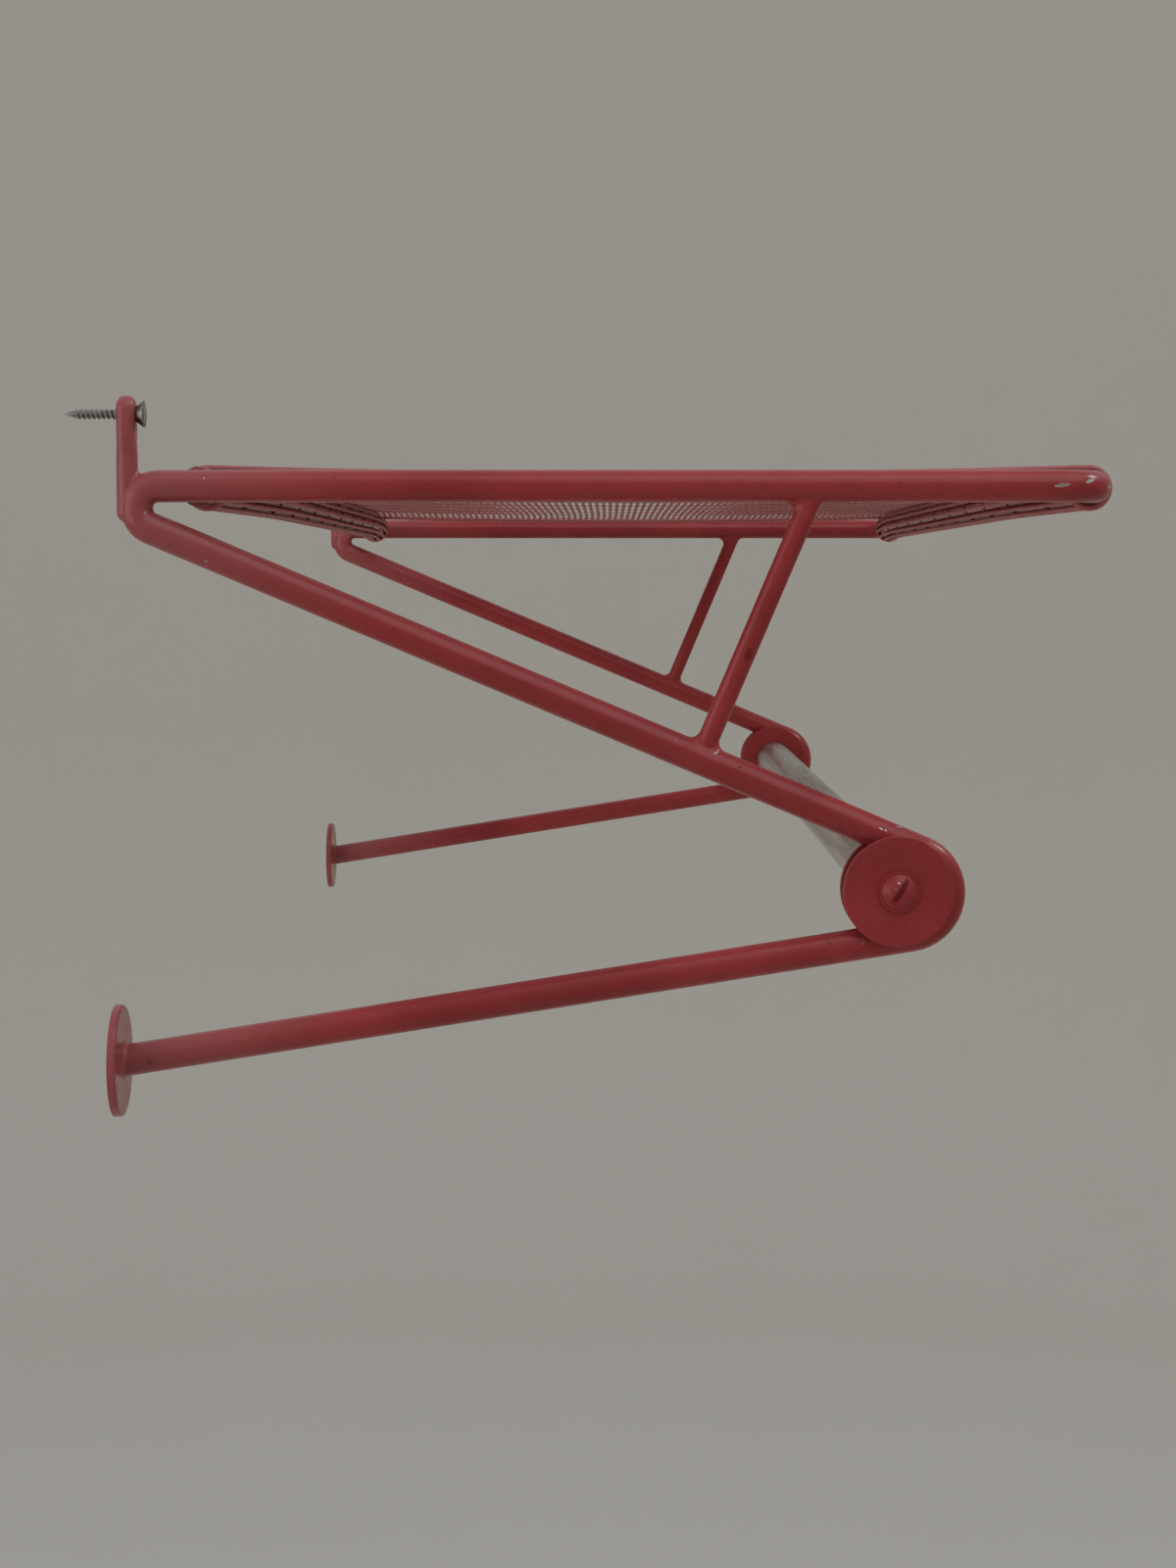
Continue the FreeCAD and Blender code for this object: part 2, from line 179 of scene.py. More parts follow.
frameRed = {
    "deep": (0.245, 0.0320, 0.0400, 1),
    "fresh": (0.305, 0.0400, 0.0500, 1),
    "dust": (0.34, 0.15, 0.14, 1),
    "grimeAndShade": (0.075, 0.014, 0.015, 1),
    "metal": (0.40, 0.37, 0.355, 1),
    "rough": (0.22, 0.30),
    "roughEdges": (0.3, 0.75),
    "specular": 0.24,
    # painted reflection of the pale wall: the colour the lacquer is given near it
    "wallSheen": (0.315, 0.105, 0.115, 1),
    "wallSheenShare": 0.55,
    "wallSheenDepth": (-0.110, -0.004),      # the painted wall sheen starts at the first and is full at the second
    "cloud": {"scale": 16, "detail": 4},
    "cloudEdges": (0.35, 0.65),
    "fine": {"scale": 210, "detail": 4, "rough": 0.65},
    "peel": {"scale": 700, "detail": 2, "rough": 0.5},
    "mottleEdges": (0.5, 0.8),
    "mottleShare": 0.18,
    "dustSpecks": {"scale": 300, "size": 0.13, "share": 0.10},
    "dustShare": 0.45,
    "pitSpecks": {"scale": 120, "size": 0.09, "share": 0.06},
    "pitShare": 0.8,
    "smudgeAndShadeShare": 0.5,
    "raggedBareAndGlints": 0.7,
    "raggedDark": 0.9,
    "bareAndGlintRough": 0.3,
    "waves": {"distance": 0.0003, "strength": 0.4},
    "skin": {"distance": 0.00005, "strength": 0.7},
    "chips": {"distance": 0.00015, "strength": 0.9},
    # bare metal at these spots: worn chips, and painted highlights where marked
    "bareAndGlints": [
        {"at": (-0.4258, -0.3511, -0.0263), "size": (0.004, 0.0034, 0.0008), "tilt": -8},
        # painted highlights: the next two put bare metal where the front corner shines
        {"at": (-0.4240, -0.3617, -0.0247), "size": (0.004, 0.0022, 0.0008), "tilt": -20},
        {"at": (-0.4130, -0.3702, -0.0264), "size": (0.005, 0.0032, 0.0008), "tilt": -12},
        {"at": (-0.4250, -0.2856, -0.1530), "size": (0.003, 0.0010, 0.0004), "tilt": 30},
        {"at": (-0.4250, -0.2872, -0.1536), "size": (0.003, 0.0005, 0.0004)},
        {"at": (-0.4235, -0.2930, -0.1526), "size": (0.003, 0.0016, 0.0004), "tilt": 12},
        # painted highlights: the next two put bare metal on the spatter beads at the strut's
        # foot, where they shine
        {"at": (-0.4242, -0.2244, -0.1250), "size": (0.003, 0.0012, 0.0005), "tilt": -16},
        {"at": (-0.4252, -0.2098, -0.1204), "size": (0.003, 0.0005, 0.0004)},
        {"at": (-0.4258, -0.0362, -0.0542), "size": (0.002, 0.0006, 0.0005)},
        {"at": (-0.4258, -0.0357, -0.0238), "size": (0.002, 0.0005, 0.0005)},
        {"at": (-0.4258, -0.0138, -0.0362), "size": (0.002, 0.0005, 0.0005)},
        {"at": (-0.4255, -0.2880, -0.1944), "size": (0.002, 0.0004, 0.0004)},
        {"at": (-0.4258, -0.2790, -0.1958), "size": (0.002, 0.0006, 0.0003)},
    ],
    "dark": [
        {"at": (-0.4258, -0.0135, -0.2403), "size": (0.002, 0.0011, 0.0010)},
        {"at": (-0.4258, -0.2662, -0.1948), "size": (0.002, 0.0020, 0.0013), "tilt": 40},
        {"at": (-0.4242, -0.2362, -0.0887), "size": (0.003, 0.0020, 0.0036), "tilt": 23},
    ],
}


def lacquer(name, settings):
    material, tree, shader = newMaterial(name)
    place = objectPlace(tree)
    cloud = noise(tree, place, **settings["cloud"])
    fine = noise(tree, place, **settings["fine"])
    peel = noise(tree, place, **settings["peel"])
    clouds = ramp(tree, cloud, *settings["cloudEdges"])
    colour = blendColours(tree, clouds, settings["deep"], settings["fresh"])
    mottled = ramp(tree, fine, *settings["mottleEdges"])
    mottle = maths(tree, "MULTIPLY", mottled, settings["mottleShare"])
    colour = blendColours(tree, mottle, colour, settings["grimeAndShade"])
    dust = specks(tree, place, **settings["dustSpecks"])
    dustAmount = maths(tree, "MULTIPLY", dust, settings["dustShare"])
    colour = blendColours(tree, dustAmount, colour, settings["dust"])
    pits = specks(tree, place, **settings["pitSpecks"])
    pitAmount = maths(tree, "MULTIPLY", pits, settings["pitShare"])
    colour = blendColours(tree, pitAmount, colour, settings["grimeAndShade"])
    split = tree.nodes.new("ShaderNodeSeparateXYZ")
    put(tree, split.inputs[0], place)
    # painted reflection: paler and pinker towards the wall at Y = 0, standing in for light
    # reflected off the wall
    wallSheen = ramp(tree, split.outputs["Y"], *settings["wallSheenDepth"], 0, settings["wallSheenShare"])
    colour = blendColours(tree, wallSheen, colour, settings["wallSheen"])
    rough = ramp(tree, fine, *settings["roughEdges"], *settings["rough"])
    height = maths(tree, "MULTIPLY", pits, -1.0)
    # dark patches: smudges on the frame, and painted shade in the screw's slot
    if settings["dark"]:
        dark = nearSpots(tree, place, settings["dark"], settings["raggedDark"])
        darkAmount = maths(tree, "MULTIPLY", dark, settings["smudgeAndShadeShare"])
        colour = blendColours(tree, darkAmount, colour, settings["grimeAndShade"])
    # bare metal at the listed spots: worn chips at some, painted highlights at others
    if settings["bareAndGlints"]:
        bareAndGlints = nearSpots(tree, place, settings["bareAndGlints"], settings["raggedBareAndGlints"])
        colour = blendColours(tree, bareAndGlints, colour, settings["metal"])
        rough = ramp(tree, bareAndGlints, 0, 1, rough, settings["bareAndGlintRough"])
        put(tree, shader.inputs["Metallic"], bareAndGlints)
        height = maths(tree, "SUBTRACT", height, bareAndGlints)
    put(tree, shader.inputs["Base Color"], colour)
    put(tree, shader.inputs["Roughness"], rough)
    shader.inputs["Specular IOR Level"].default_value = settings["specular"]
    waves = bump(tree, cloud, **settings["waves"])
    skin = bump(tree, peel, **settings["skin"], under=waves)
    put(tree, shader.inputs["Normal"], bump(tree, height, **settings["chips"], under=skin))
    return material


railAlloy = {
    "bright": (0.47, 0.44, 0.425, 1),
    "dull": (0.245, 0.228, 0.222, 1),
    "rough": (0.24, 0.40),
}
plugAlloy = {
    "bright": (0.62, 0.60, 0.58, 1),
    "dull": (0.48, 0.46, 0.45, 1),
    "rough": (0.24, 0.38),
}
screwSteel = {
    "bright": (0.30, 0.29, 0.28, 1),
    "dull": (0.11, 0.105, 0.10, 1),
    "rough": (0.32, 0.5),
}
drawing = {
    "streaks": {"scale": 600, "detail": 4, "rough": 0.6},
    "streakEdges": (0.45, 0.75),
    "streakShare": 0.4,
    "roughEdges": (0.3, 0.7),
    "cloudScale": 130,
    "cloudEdges": (0.3, 0.8),
    "cloudStretch": 0.03,       # the clouds are never drawn out further than this
    "stains": {"scale": 140, "size": 0.12, "share": 0.07},
    "stainShare": 0.6,
    "grooves": {"distance": 0.00005, "strength": 0.6},
    "alongX": (0.02, 1, 1),
    "alongY": (1, 0.1, 1),
}


def drawnMetal(name, settings, along):
    # drawn along one axis, with long scuffs and dull cloudy patches
    material, tree, shader = newMaterial(name)
    place = objectPlace(tree)
    drawn = noise(tree, place, **drawing["streaks"], stretch=along)
    wide = tuple(max(share, drawing["cloudStretch"]) for share in along)
    cloud = noise(tree, place, drawing["cloudScale"], stretch=wide)
    stain = specks(tree, place, **drawing["stains"])
    clouds = ramp(tree, cloud, *drawing["cloudEdges"])
    colour = blendColours(tree, clouds, settings["bright"], settings["dull"])
    streaks = ramp(tree, drawn, *drawing["streakEdges"])
    streak = maths(tree, "MULTIPLY", streaks, drawing["streakShare"])
    colour = blendColours(tree, streak, colour, settings["dull"])
    stainAmount = maths(tree, "MULTIPLY", stain, drawing["stainShare"])
    colour = blendColours(tree, stainAmount, colour, settings["dull"])
    put(tree, shader.inputs["Base Color"], colour)
    shader.inputs["Metallic"].default_value = 1.0
    rough = ramp(tree, drawn, *drawing["roughEdges"], *settings["rough"])
    put(tree, shader.inputs["Roughness"], rough)
    put(tree, shader.inputs["Normal"], bump(tree, drawn, **drawing["grooves"]))
    return material


screwGlintsAndShade = {
    "rough": (0.26, 0.42),
    # painted highlights: bare metal at the two spots on the head where it shines
    "bareAndGlints": [
        {"at": (-0.4320, -0.2916, -0.1726), "size": (0.003, 0.0005, 0.0004)},
        {"at": (-0.4320, -0.2904, -0.1748), "size": (0.003, 0.0004, 0.0004)},
    ],
    # painted shade: a dark patch down in the screwdriver slot
    "dark": [{"at": (-0.4320, -0.2906, -0.1783), "size": (0.003, 0.0012, 0.0010)}],
}
# painted sheen: the shelf's lacquer is paler and pinker than the frame's, standing in for the
# wires' grazing reflection of the pale wall; it is also rougher
shelfSheen = {
    "deep": (0.355, 0.104, 0.113, 1),
    "fresh": (0.380, 0.116, 0.124, 1),
    "rough": (0.42, 0.58),
    "wallSheenShare": 0.1,
}
noSpots = {"bareAndGlints": None, "dark": None}

lacquerOfFrame = lacquer("frameLacquer", frameRed)
lacquerOfDiscs = lacquer("discLacquer", {**frameRed, **noSpots})
lacquerOfScrews = lacquer("screwLacquer", {**frameRed, **screwGlintsAndShade})
lacquerOfShelf = lacquer("shelfLacquer", {**frameRed, **shelfSheen, **noSpots})
alloyOfRail = drawnMetal("railAlloy", railAlloy, drawing["alongX"])
alloyOfPlugs = drawnMetal("plugAlloy", plugAlloy, drawing["alongX"])
steelOfScrews = drawnMetal("screwSteel", screwSteel, drawing["alongY"])

finishes = {
    "frame_lacquer": lacquerOfFrame,
    "disc_lacquer": lacquerOfDiscs,
    "screw_lacquer": lacquerOfScrews,
    "shelf_lacquer": lacquerOfShelf,
    "rail_metal": alloyOfRail,
    "plug_metal": alloyOfPlugs,
    "screw_steel": steelOfScrews,
}
for node in nodes.values():
    for slot in node.material_slots:
        slot.material = finishes[slot.material.name.split(".")[0]]
print("finishes made:", len(finishes))


modelling = {
    "smoothAngle": 38,      # degrees: edges sharper than this stay crisp
    "sameEnd": 0.00002,     # a face this close to the end of a piece is its end face
    "facing": 0.9,          # and its normal points this much along the axis
    "edgeAngle": 32,        # degrees: edges sharper than this are bevelled
}


def deselectAll():
    if bpy.context.object and bpy.context.object.mode != "OBJECT":
        bpy.ops.object.mode_set(mode="OBJECT")
    bpy.ops.object.select_all(action="DESELECT")


def only(piece):
    deselectAll()
    piece.select_set(True)
    bpy.context.view_layer.objects.active = piece


def editing(piece, kind="FACE"):
    only(piece)
    bpy.ops.object.mode_set(mode="EDIT")
    bpy.ops.mesh.select_mode(type=kind)
    bpy.ops.mesh.select_all(action="DESELECT")


def pickFaces(piece, test):
    # selects the faces whose middle and normal pass the test
    shape = bmesh.from_edit_mesh(piece.data)
    for face in shape.faces:
        face.select_set(test(face.calc_center_median(), face.normal))
    bmesh.update_edit_mesh(piece.data)


def pickPoints(piece, test):
    shape = bmesh.from_edit_mesh(piece.data)
    for point in shape.verts:
        point.select_set(test(point.co))
    shape.select_flush_mode()
    bmesh.update_edit_mesh(piece.data)


def placeInMesh(piece):
    only(piece)
    bpy.ops.object.transform_apply(location=True, rotation=True, scale=True)


def applied(piece, kind, **settings):
    # adds a modifier and applies it
    only(piece)
    modifier = piece.modifiers.new(kind.lower(), kind)
    for name, value in settings.items():
        setattr(modifier, name, value)
    bpy.ops.object.modifier_apply(modifier=modifier.name)


def joined(pieces):
    deselectAll()
    for piece in pieces:
        piece.select_set(True)
    bpy.context.view_layer.objects.active = pieces[0]
    bpy.ops.object.join()
    return bpy.context.view_layer.objects.active


def finished(piece, name, material, body, replaced=()):
    placeInMesh(piece)
    bpy.ops.object.shade_smooth_by_angle(angle=math.radians(modelling["smoothAngle"]))
    piece.name = name
    piece.data.name = name
    piece.data.materials.clear()
    piece.data.materials.append(material)
    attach(piece, body)
    if replaced:
        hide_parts(*replaced)
    return piece


def growEnd(piece, axis, sense, steps, centre):
    # pulls the end face out to each (place along the axis, radius) in turn
    def isEnd(middle, normal):
        return (normal[axis] * sense > modelling["facing"]
                and abs(middle[axis] - reach) < modelling["sameEnd"])
    reach = max(point.co[axis] * sense for point in piece.data.vertices) * sense
    radius = max(math.hypot(*(point.co[k] - centre[k] for k in range(3) if k != axis))
                 for point in piece.data.vertices
                 if abs(point.co[axis] - reach) < modelling["sameEnd"])
    editing(piece)
    pickFaces(piece, isEnd)
    for place, newRadius in steps:
        move = [0.0, 0.0, 0.0]
        move[axis] = place - reach
        bpy.ops.mesh.extrude_region_move(TRANSFORM_OT_translate={"value": move})
        grow = [newRadius / radius] * 3
        grow[axis] = 1.0
        bpy.ops.transform.resize(value=grow, center_override=centre)
        reach, radius = place, newRadius
    bpy.ops.object.mode_set(mode="OBJECT")


def cutSlot(piece, size, place, angle, axis):
    # a straight screwdriver slot; the bevel that follows softens its edges
    deselectAll()
    bpy.ops.mesh.primitive_cube_add(size=1, location=place)
    cutter = bpy.context.active_object
    cutter.scale = size
    turn = [0.0, 0.0, 0.0]
    turn[axis] = math.radians(angle)
    cutter.rotation_euler = turn
    placeInMesh(cutter)
    applied(piece, "BOOLEAN", operation="DIFFERENCE", solver="EXACT", object=cutter)
    bpy.data.objects.remove(cutter)


railScrew = {
    "headRadius": 0.0065,
    "headSides": 72,
    "rim": 0.0004,
    "crown": 0.0034,
    "domeSteps": 9,
    "domeEnd": 0.4,         # of a step: how far the last ring stops short of the top
    "widestRing": 0.985,    # no ring of the dome is wider than this share of the head
    "shankRadius": 0.0029,
    "shankSides": 32,
    "shankEdge": 0.0004,
    "slotLength": 0.016,
    "slotWidth": 0.0020,
    "slotDepth": 0.0024,
    "slotAngle": -58,
    "edge": 0.00014,
}


def makeRailScrew(side, way):
    cadNode = side + "_rail_screw"
    low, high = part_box(cadNode)
    centre = Vector(((low.x + high.x) / 2, (low.y + high.y) / 2, (low.z + high.z) / 2))
    outer, inner = (low.x, high.x) if way < 0 else (high.x, low.x)
    rim, crown, headRadius = railScrew["rim"], railScrew["crown"], railScrew["headRadius"]
    seat = outer - way * crown
    deselectAll()
    bpy.ops.mesh.primitive_cylinder_add(
        vertices=railScrew["headSides"], radius=headRadius, depth=rim, end_fill_type="NGON",
        location=(seat + way * rim / 2, centre.y, centre.z), rotation=(0, math.radians(90), 0))
    head = bpy.context.active_object
    placeInMesh(head)
    dome = (headRadius ** 2 + crown ** 2) / (2 * crown)     # radius of the sphere it is cut from
    steps = []
    for step in range(1, railScrew["domeSteps"] + 1):
        quarter = step / (railScrew["domeSteps"] + railScrew["domeEnd"])
        share = math.sin(math.pi / 2 * quarter)
        height = rim + (crown - rim) * share
        radius = math.sqrt(max(dome ** 2 - (dome - crown + height) ** 2, 1e-9))
        steps.append((seat + way * height, min(radius, headRadius * railScrew["widestRing"])))
    growEnd(head, 0, way, steps, (seat, centre.y, centre.z))
    size = (2 * railScrew["slotDepth"], railScrew["slotLength"], railScrew["slotWidth"])
    cutSlot(head, size, (outer, centre.y, centre.z), railScrew["slotAngle"], 0)
    applied(head, "BEVEL", width=railScrew["edge"], segments=3, limit_method="ANGLE",
            angle_limit=math.radians(modelling["edgeAngle"]))
    deselectAll()
    bpy.ops.mesh.primitive_cylinder_add(
        vertices=railScrew["shankSides"], radius=railScrew["shankRadius"],
        depth=abs(seat - inner),
        location=((seat + inner) / 2, centre.y, centre.z), rotation=(0, math.radians(90), 0))
    shank = bpy.context.active_object
    placeInMesh(shank)
    applied(shank, "BEVEL", width=railScrew["shankEdge"], segments=2, limit_method="ANGLE")
    finished(joined([head, shank]), side + "RailScrew", lacquerOfScrews, "rail",
             [cadNode])


for side, way in sides:
    makeRailScrew(side, way)
print("rail screws made")


wallScrew = {
    "sides": 48,
    "rootRadius": 0.00148,
    "threadRadius": 0.0020,
    "shankRadius": 0.0021,
    "shankStep": 0.0002,    # length of the shoulder between thread and shank
    "headRadius": 0.0049,
    "coneLength": 0.0036,
    "rim": 0.0004,
    "pointLength": 0.0050,
    "pointWaist": (0.6, 0.45),      # shares of the point's length and of the root's radius
    "tipRadius": 0.00005,
    "threadStart": -0.0024,
    "pitch": 0.0018,
    "turnSteps": 20,
    "ridgeRadius": 0.00062,
    "ridgeWidth": 0.75,
    "ridgeStop": 0.0016,    # the ridge stops at least this far from the tip
    "runOut": (7, 8, 0.86),     # rings, parts of the point's length, shrink at each
    "sameRidgePoint": 0.000005,
    "slotLength": 0.014,
    "slotWidth": 0.0013,
    "slotDepth": 0.0007,
    "slotAngle": {"left": 25, "right": -38},
    "edge": 0.00010,
    "sliver": 0.000002,     # points closer than this are merged after the bevel
}


def makeWallScrew(side):
    cadNode = side + "_wall_screw"
    low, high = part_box(cadNode)
    x, z = (low.x + high.x) / 2, (low.z + high.z) / 2
    face, tip = low.y, high.y
    start, end = wallScrew["threadStart"], tip - wallScrew["pointLength"]
    waist, waistRadius = wallScrew["pointWaist"]
    deselectAll()
    bpy.ops.mesh.primitive_cylinder_add(
        vertices=wallScrew["sides"], radius=wallScrew["rootRadius"], depth=end - start,
        end_fill_type="NGON", location=(x, (start + end) / 2, z),
        rotation=(math.radians(90), 0, 0))
    body = bpy.context.active_object
    placeInMesh(body)
    cone = face + wallScrew["rim"] + wallScrew["coneLength"]
    growEnd(body, 1, -1, [
        (start - wallScrew["shankStep"], wallScrew["shankRadius"]),
        (cone, wallScrew["shankRadius"]),
        (face + wallScrew["rim"], wallScrew["headRadius"]),
        (face, wallScrew["headRadius"]),
    ], (x, 0, z))
    growEnd(body, 1, 1, [
        (end + wallScrew["pointLength"] * waist, wallScrew["rootRadius"] * waistRadius),
        (tip, wallScrew["tipRadius"]),
    ], (x, 0, z))
    size = (wallScrew["slotWidth"], 2 * wallScrew["slotDepth"], wallScrew["slotLength"])
    cutSlot(body, size, (x, face, z), wallScrew["slotAngle"][side], 1)
    applied(body, "BEVEL", width=wallScrew["edge"], segments=2, limit_method="ANGLE",
            angle_limit=math.radians(modelling["edgeAngle"]))
    editing(body, "VERT")
    bpy.ops.mesh.select_all(action="SELECT")
    bpy.ops.mesh.remove_doubles(threshold=wallScrew["sliver"])
    bpy.ops.object.mode_set(mode="OBJECT")

    deselectAll()
    bpy.ops.mesh.primitive_circle_add(vertices=3, radius=wallScrew["ridgeRadius"],
                                      location=(x, start, z))
    ridge = bpy.context.active_object
    bpy.ops.object.mode_set(mode="EDIT")
    bpy.ops.transform.resize(value=(1, wallScrew["ridgeWidth"], 1))
    bpy.ops.transform.rotate(value=math.radians(90), orient_axis="Z",
                             center_override=(x, start, z))
    outermost = max((ridge.matrix_world @ point.co).x
                    for point in bmesh.from_edit_mesh(ridge.data).verts) - x
    bpy.ops.transform.translate(value=(wallScrew["threadRadius"] - outermost, 0, 0))
    bpy.ops.object.mode_set(mode="OBJECT")
    turns = int((tip - start - wallScrew["ridgeStop"]) / wallScrew["pitch"])
    applied(ridge, "SCREW", axis="Y", angle=2 * math.pi, steps=wallScrew["turnSteps"],
            render_steps=wallScrew["turnSteps"], screw_offset=wallScrew["pitch"],
            iterations=turns, use_merge_vertices=False)
    placeInMesh(ridge)
    editing(ridge, "VERT")
    rings, parts, shrink = wallScrew["runOut"]
    for step in range(rings):    # the thread runs out down the point
        edge = end + step * wallScrew["pointLength"] / parts
        pickPoints(ridge, lambda place: place.y > edge)
        bpy.ops.transform.resize(value=(shrink, 1, shrink), center_override=(x, 0, z))
    bpy.ops.mesh.select_all(action="SELECT")
    bpy.ops.mesh.remove_doubles(threshold=wallScrew["sameRidgePoint"])
    bpy.ops.mesh.select_all(action="SELECT")
    bpy.ops.mesh.fill_holes(sides=3)    # closes both ends of the thread
    bpy.ops.mesh.select_all(action="SELECT")
    bpy.ops.mesh.normals_make_consistent(inside=False)
    bpy.ops.object.mode_set(mode="OBJECT")
    finished(joined([body, ridge]), side + "WallScrew", steelOfScrews, "frame",
             [cadNode])


for side, way in sides:
    makeWallScrew(side)
print("wall screws made")


rearWeld = {
    "inset": 0.0014,        # how far the bead's middle stands off the rail's skin
    "beadRadius": 0.0014,
    "barRadius": 0.0060,
    "barEnd": 0.0004,       # how far the bar has bowed in by the time it reaches the bead
    "standOff": 0.0003,
    "segments": 44,
    "ringReach": 0.3,       # of a segment: points this near belong to its ring
    "beadSides": 12,
    "ripple": 0.10,
    "rippleStep": 2.1,      # radians from one ring to the next
    "pull": 0.92,           # how far the bead follows the saddle
    "softness": 0.0026,     # rounds the corner of the saddle at the top and the bottom
}


def makeRearWeld(side, way):
    # a bead round the bar's end, which follows the saddle where two equal bars meet
    low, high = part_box(side + "_side_bar")
    barLow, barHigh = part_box("rear_crossbar")
    railX, railZ = (low.x + high.x) / 2, (barLow.z + barHigh.z) / 2
    radius = rearWeld["barRadius"]
    endY = barHigh.y - radius - rearWeld["barEnd"]
    middleX = railX - way * (radius + rearWeld["inset"])
    deselectAll()
    bpy.ops.mesh.primitive_torus_add(
        major_segments=rearWeld["segments"], minor_segments=rearWeld["beadSides"],
        major_radius=radius + rearWeld["standOff"], minor_radius=rearWeld["beadRadius"],
        location=(middleX, endY, railZ), rotation=(0, math.radians(90), 0))
    bead = bpy.context.active_object
    placeInMesh(bead)
    editing(bead, "VERT")
    step = 2 * math.pi / rearWeld["segments"]
    for index in range(rearWeld["segments"]):
        angle = index * step

        def inSegment(place):
            found = math.atan2(place.z - railZ, place.y - endY)
            away = abs((found - angle + math.pi) % (2 * math.pi) - math.pi)
            return away < step * rearWeld["ringReach"]
        pickPoints(bead, inSegment)
        across = radius - math.hypot(radius * math.cos(angle), rearWeld["softness"])
        middle = (middleX, endY + radius * math.cos(angle), railZ + radius * math.sin(angle))
        swell = 1 + rearWeld["ripple"] * math.sin(index * rearWeld["rippleStep"])
        bpy.ops.transform.resize(value=(swell, swell, swell), center_override=middle)
        bpy.ops.transform.translate(value=(way * across * rearWeld["pull"], 0, 0))
    bpy.ops.object.mode_set(mode="OBJECT")
    applied(bead, "SUBSURF", levels=1, render_levels=1)
    finished(bead, side + "RearWeld", lacquerOfFrame, "frame")


for side, way in sides:
    makeRearWeld(side, way)
print("rear welds made")


wireNugget = {
    "radius": 0.00112,
    "length": 0.0011,
    "sides": 8,
    "inward": (0.0005, 0.85),       # length and share of the radius, along the wire
    "outward": (0.0003, 0.72),      # the same towards the edge wire
    "endDepth": 0.0003,     # points this close to the side of the mat belong to wire ends
    "sameWire": 0.00185,    # points of one wire's end lie within this of each other
}


def wireEnds(node, way):
    # the middle of each wire's end face on one side of the mat
    low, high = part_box(node)
    edge = low.x if way < 0 else high.x
    groups = []
    for point in nodes[node].data.vertices:
        if abs(point.co.x - edge) > wireNugget["endDepth"]:
            continue
        for group in groups:
            if (group[0] - point.co).length < wireNugget["sameWire"]:
                group.append(point.co)
                break
        else:
            groups.append([point.co])
    return [sum(group, Vector()) / len(group) for group in groups]


def makeNuggets(side, way):
    # the welded end of each wire, a squashed drop that reaches the edge wire
    deselectAll()
    bpy.ops.mesh.primitive_cylinder_add(
        vertices=wireNugget["sides"], radius=wireNugget["radius"], depth=wireNugget["length"],
        rotation=(0, math.radians(90), 0))
    nugget = bpy.context.active_object
    placeInMesh(nugget)
    half, radius = wireNugget["length"] / 2, wireNugget["radius"]
    for sense, (length, share) in ((-way, wireNugget["inward"]), (way, wireNugget["outward"])):
        growEnd(nugget, 0, sense, [(sense * (half + length), radius * share)], (0, 0, 0))
    copies = []
    for node in ("shelf_wires", "front_hem_wires", "rear_hem_wires"):
        for place in wireEnds(node, way):
            copy = nugget.copy()
            copy.data = nugget.data.copy()
            copy.location = place
            bpy.context.collection.objects.link(copy)
            copies.append(copy)
    bpy.data.objects.remove(nugget)
    print(side, "wire ends welded:", len(copies))
    finished(joined(copies), side + "WireNuggets", lacquerOfShelf, "frame")


for side, way in sides:
    makeNuggets(side, way)
print("wire ends made")


spatter = {
    "seed": 7,
    "radius": (0.00026, 0.00052),
    "flatness": 0.6,
    "stretch": (0.9, 1.3),
    "spots": [    # beads thrown off by the welds, on the near and the far frame
        (-0.42417, -0.2243, -0.1251), (-0.42520, -0.2098, -0.1204), (-0.42560, -0.2335, -0.1298),
        (-0.42480, -0.2690, -0.0232), (-0.42590, -0.2775, -0.0272), (-0.42530, -0.2540, -0.0290),
        (0.41520, -0.2160, -0.1215), (0.41500, -0.2310, -0.1300), (0.41480, -0.2600, -0.0240),
        (0.41440, -0.2790, -0.0285), (-0.42160, -0.0150, -0.0255), (0.41620, -0.0160, -0.0250),
    ],
}


def makeSpatter():
    chance = random.Random(spatter["seed"])
    beads = []
    for spot in spatter["spots"]:
        radius = chance.uniform(*spatter["radius"])
        deselectAll()
        bpy.ops.mesh.primitive_ico_sphere_add(subdivisions=2, radius=radius, location=spot)
        bead = bpy.context.active_object
        bpy.ops.object.mode_set(mode="EDIT")
        stretch = chance.uniform(*spatter["stretch"])
        bpy.ops.transform.resize(value=(spatter["flatness"], stretch, 1), center_override=spot)
        bpy.ops.object.mode_set(mode="OBJECT")
        placeInMesh(bead)
        beads.append(bead)
    finished(joined(beads), "weldSpatter", lacquerOfFrame, "frame")


makeSpatter()
print("spatter made")


studio = {
    "floorDrop": 1.30,      # below the lowest pad
    "floorY": -0.2,
    "floorRadius": 4.4,
    "floorSides": 96,
    "sweepRadius": 1.2,
    "sweepSteps": 10,
    "wallHeight": 2.4,
    "tone": (0.74, 0.715, 0.650, 1),
    "shade": 0.97,          # of the tone, in the darker clouds of the paint
    "grain": {"scale": 2.5, "detail": 2},
    "rough": 0.9,
    "air": (0.78, 0.79, 0.80, 1),
    "airStrength": 0.66,
    "lights": {
        "ceilingLight": {
            "place": (-1.2, -0.7, 1.2), "aim": (-0.5, -0.2, -0.1), "size": (1.4, 1.4),
            "power": 8.5, "colour": (1.0, 0.985, 0.955),
        },
        "lampLight": {
            "place": (-0.1, -1.9, 1.5), "aim": (-0.35, -0.3, -0.1), "size": (0.40, 0.30),
            "power": 13.5, "colour": (1.0, 0.98, 0.95),
        },
        "wallBounce": {
            "place": (-1.2, 1.4, 0.0), "aim": (-0.4, -0.1, -0.1), "size": (1.4, 1.4),
            "power": 10, "colour": (1.0, 0.97, 0.93),
        },
    },
}


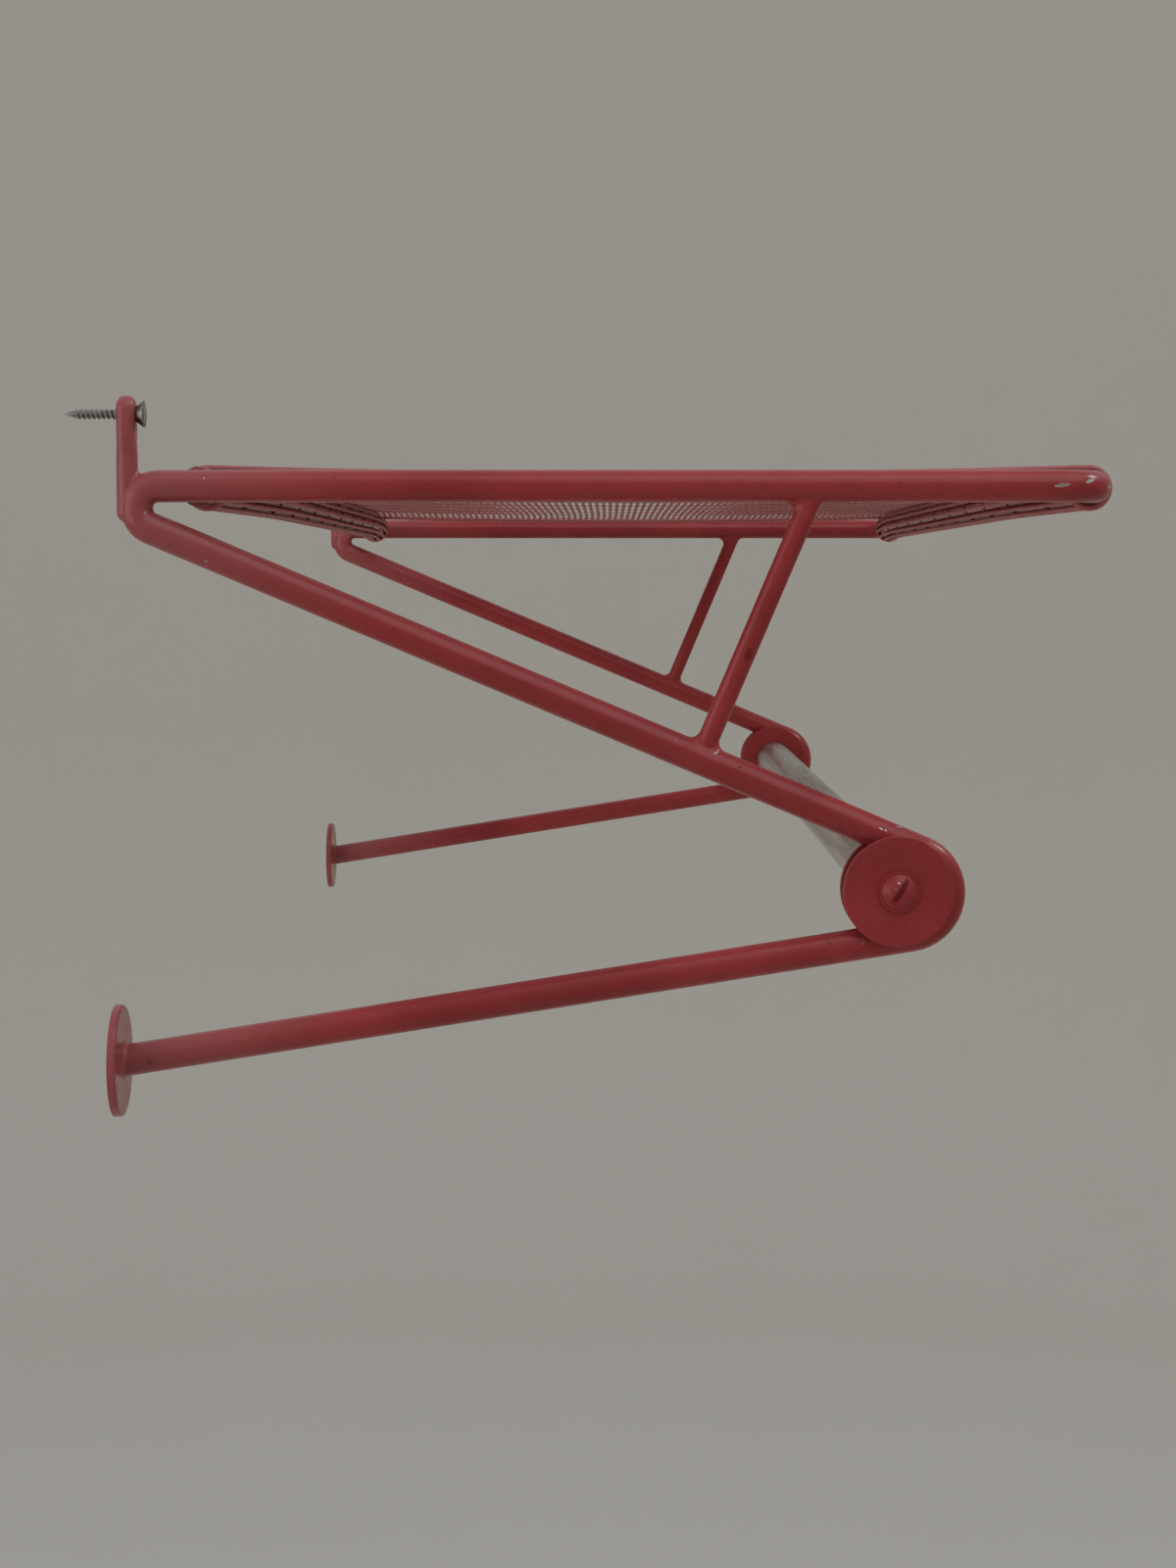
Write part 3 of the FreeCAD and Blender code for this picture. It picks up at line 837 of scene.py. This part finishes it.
def buildStudio():
    # a round floor whose rim sweeps up into the wall
    middle = (0, studio["floorY"], cadLow.z - studio["floorDrop"])
    deselectAll()
    bpy.ops.mesh.primitive_circle_add(
        vertices=studio["floorSides"], radius=studio["floorRadius"], fill_type="NGON",
        location=middle)
    floor = bpy.context.active_object
    floor.name = "studioFloor"
    bpy.ops.object.mode_set(mode="EDIT")
    bpy.ops.mesh.select_mode(type="EDGE")
    bpy.ops.mesh.select_all(action="SELECT")
    sweep, steps = studio["sweepRadius"], studio["sweepSteps"]
    for step in range(steps):
        low, high = (math.pi / 2 * k / steps for k in (step, step + 1))
        out = sweep * (math.sin(high) - math.sin(low))
        up = sweep * (math.cos(low) - math.cos(high))
        radius = studio["floorRadius"] + sweep * math.sin(low)
        grow = (radius + out) / radius
        bpy.ops.mesh.extrude_edges_move(TRANSFORM_OT_translate={"value": (0, 0, up)})
        bpy.ops.transform.resize(value=(grow, grow, 1), center_override=middle)
    wall = (0, 0, studio["wallHeight"])
    bpy.ops.mesh.extrude_edges_move(TRANSFORM_OT_translate={"value": wall})
    bpy.ops.object.mode_set(mode="OBJECT")
    bpy.ops.object.shade_smooth()
    material, tree, shader = newMaterial("studioPaint")
    grain = noise(tree, objectPlace(tree), **studio["grain"])
    tone = studio["tone"]
    shade = tuple(part * studio["shade"] for part in tone[:3]) + (1,)
    put(tree, shader.inputs["Base Color"], blendColours(tree, grain, shade, tone))
    shader.inputs["Roughness"].default_value = studio["rough"]
    floor.data.materials.append(material)


def areaLight(name, settings):
    data = bpy.data.lights.new(name, "AREA")
    data.shape = "RECTANGLE"
    data.size, data.size_y = settings["size"]
    data.energy = settings["power"]
    data.color = settings["colour"]
    lamp = bpy.data.objects.new(name, data)
    lamp.location = settings["place"]
    towards = Vector(settings["aim"]) - Vector(settings["place"])
    lamp.rotation_euler = towards.to_track_quat("-Z", "Y").to_euler()
    lamp.visible_camera = False
    bpy.context.collection.objects.link(lamp)


buildStudio()
for name, settings in studio["lights"].items():
    areaLight(name, settings)

world = bpy.data.worlds.new("studioAir")
world.use_nodes = True
background = world.node_tree.nodes["Background"]
background.inputs["Color"].default_value = studio["air"]
background.inputs["Strength"].default_value = studio["airStrength"]
bpy.context.scene.world = world

camera = {
    "place": (-1.511, -0.185, -0.063),
    "pitch": 86.13,     # degrees up from straight down
    "turn": -89.58,     # degrees round from looking along +Y
    "lens": 67.5,
    "sensor": 36,
}
cameraData = bpy.data.cameras.new("camera")
cameraData.lens = camera["lens"]
cameraData.sensor_width = camera["sensor"]
cameraObject = bpy.data.objects.new("camera", cameraData)
cameraObject.location = camera["place"]
turned = (math.radians(camera["pitch"]), 0, math.radians(camera["turn"]))
cameraObject.rotation_euler = turned
bpy.context.collection.objects.link(cameraObject)
bpy.context.scene.camera = cameraObject
print("studio, lights and camera made")
